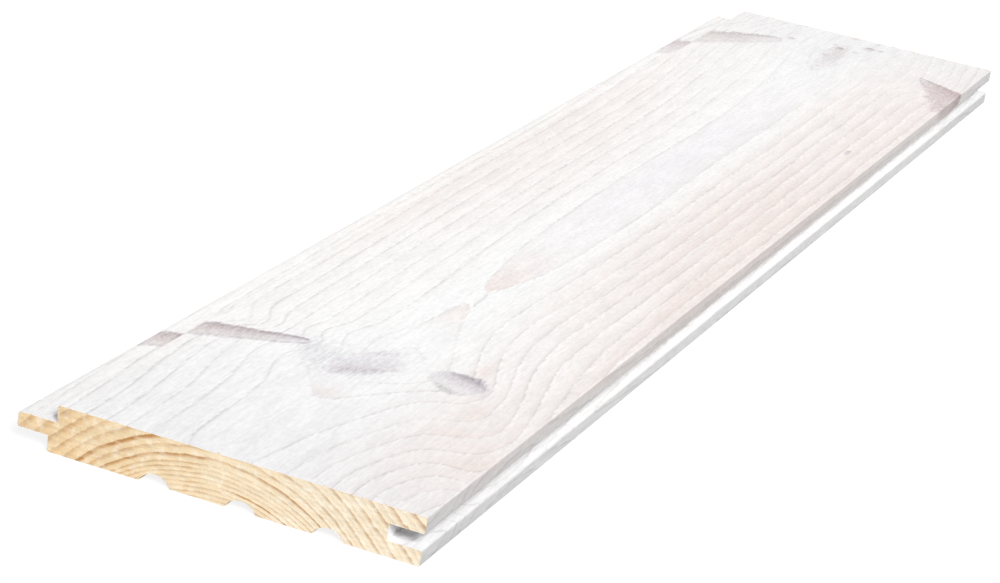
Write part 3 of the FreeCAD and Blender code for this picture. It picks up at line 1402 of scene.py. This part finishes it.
    def build(self) -> bpy.types.Object:
        """Makes the board, rides it on its body and puts it in the place of the plain solid.

        Returns:
            The board.
        """
        piece = bpy.data.objects.new(self.name, self.mesh())
        bpy.context.scene.collection.objects.link(piece)
        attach(piece, self.body)
        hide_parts(self.node)
        return piece

    def dress(self, piece: bpy.types.Object) -> None:
        """Gives the board its three finishes, in the order of the sides.

        Args:
            piece: the board.
        """
        finishes = {Side.GLAZED: GlazedPine(), Side.BARE: BarePine(), Side.SAWN: SawnPine()}
        for side in Side:
            piece.data.materials.append(finishes[side].material())


@dataclass
class Studio:
    """A plain pale floor under soft light, white all round to the camera."""

    floor_size: float = 30.0
    floor_drop: float = 0.00005
    floor_colour: Colour = (0.45, 0.45, 0.45)
    shadow_colour: Colour = (0.18, 0.18, 0.18)
    glow: Colour = (0.85, 0.85, 0.85)
    sky: float = 0.25
    key_strength: float = 3.62
    key_from: Triple = (0.5, -0.6, 0.62)
    fill_strength: float = 0.3
    fill_from: Triple = (-0.5, 0.6, 0.62)
    softness: float = math.radians(22.0)

    def build(self) -> None:
        """Makes the floor, the lamps and the surroundings."""
        self.floor()
        self.lamp("key", self.key_strength, self.key_from)
        self.lamp("fill", self.fill_strength, self.fill_from)
        self.surroundings()

    def seen(self, shader: Shader) -> Socket:
        """Tells what the camera sees, also in a reflection or through glass, from other light.

        Args:
            shader: the nodes of the floor or of the surroundings.

        Returns:
            1 for what the camera sees, and 0 for other light.
        """
        path = shader.node("ShaderNodeLightPath", {}, {}, "Is Camera Ray")
        outputs = path.source.node.outputs
        others = [Socket(shader, outputs[name]) for name in ("Is Glossy Ray", "Is Transmission Ray")]
        return (path + others[0] + others[1]).clamped()

    def floor(self) -> None:
        """Makes the floor: white to the camera but for a light shadow, and pale grey to other light."""
        side = self.floor_size / 2
        corners = [(-side, -side, 0.0), (side, -side, 0.0), (side, side, 0.0), (-side, side, 0.0)]
        mesh = bpy.data.meshes.new("floor")
        mesh.from_pydata(corners, [], [(0, 1, 2, 3)])
        shader = Shader(bpy.data.materials.new("pale_floor"))
        seen = self.seen(shader)
        mesh.materials.append(shader.surface({
            "Base Color": shader.mix(seen, self.floor_colour, self.shadow_colour),
            "Roughness": 1.0,
            "Specular IOR Level": 0.0,
            "Emission Color": shader.mix(seen, (0.0, 0.0, 0.0), self.glow),
            "Emission Strength": 1.0,
        }))
        floor = bpy.data.objects.new("floor", mesh)
        floor.location.z = -self.floor_drop
        bpy.context.scene.collection.objects.link(floor)

    def lamp(self, name: str, strength: float, source: Triple) -> None:
        """Adds a broad lamp.

        Args:
            name: the lamp's name.
            strength: its strength.
            source: the direction that the light comes from.
        """
        light = bpy.data.lights.new(name, "SUN")
        light.energy = strength
        light.angle = self.softness
        lamp = bpy.data.objects.new(name, light)
        lamp.rotation_mode = "QUATERNION"
        lamp.rotation_quaternion = Vector(source).to_track_quat("Z", "Y")
        bpy.context.scene.collection.objects.link(lamp)

    def surroundings(self) -> None:
        """Makes the world: white to the camera, and an even grey to other light."""
        world = bpy.data.worlds.new("studio")
        shader = Shader(world)
        strength = self.sky + (1.0 - self.sky) * self.seen(shader)
        values = {"Color": (1.0, 1.0, 1.0, 1.0), "Strength": strength}
        background = shader.node("ShaderNodeBackground", {}, values)
        shader.node("ShaderNodeOutputWorld", {}, {"Surface": background})
        bpy.context.scene.world = world


@dataclass
class Viewpoint:
    """The camera: over the groove side of the near end, looking down the length."""

    aim: Triple = (7.88, -115.36, 14.0)
    distance: float = 999.44
    azimuth: float = math.radians(19.89)
    elevation: float = math.radians(19.46)
    roll: float = math.radians(8.66)
    lens: float = 117.23
    sensor: float = 36.0

    def build(self) -> None:
        """Makes the camera and hands it to the scene."""
        level = math.cos(self.elevation)
        forward = Vector((-math.sin(self.azimuth) * level, math.cos(self.azimuth) * level,
                          -math.sin(self.elevation)))
        across = forward.cross(Vector((0.0, 0.0, 1.0))).normalized()
        upright = across.cross(forward)
        right = across * math.cos(self.roll) + upright * math.sin(self.roll)
        up = right.cross(forward)
        data = bpy.data.cameras.new("camera")
        data.lens = self.lens
        data.sensor_width = self.sensor
        camera = bpy.data.objects.new("camera", data)
        turn = Matrix((right, up, -forward)).transposed().to_4x4()
        place = (Vector(self.aim) - forward * self.distance) * MM
        camera.matrix_world = Matrix.Translation(place) @ turn
        bpy.context.scene.collection.objects.link(camera)
        bpy.context.scene.camera = camera


def main() -> None:
    """Builds the board, the studio and the camera."""
    logging.basicConfig(level=logging.INFO, format="%(name)s: %(message)s")
    bpy.context.scene.view_settings.view_transform = "Standard"
    low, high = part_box("board")
    width, length, thickness = [value / MM for value in high - low]
    board = Board(length, Section(width, thickness), Wood(thickness, -length / 2))
    piece = board.build()
    board.dress(piece)
    log.info("%s: %d points, %d faces", piece.name, len(piece.data.vertices), len(piece.data.polygons))
    Studio().build()
    log.info("studio: floor, lamps and surroundings")
    Viewpoint().build()
    log.info("camera: lens %.1f mm", bpy.context.scene.camera.data.lens)


if __name__ == "__main__":
    main()
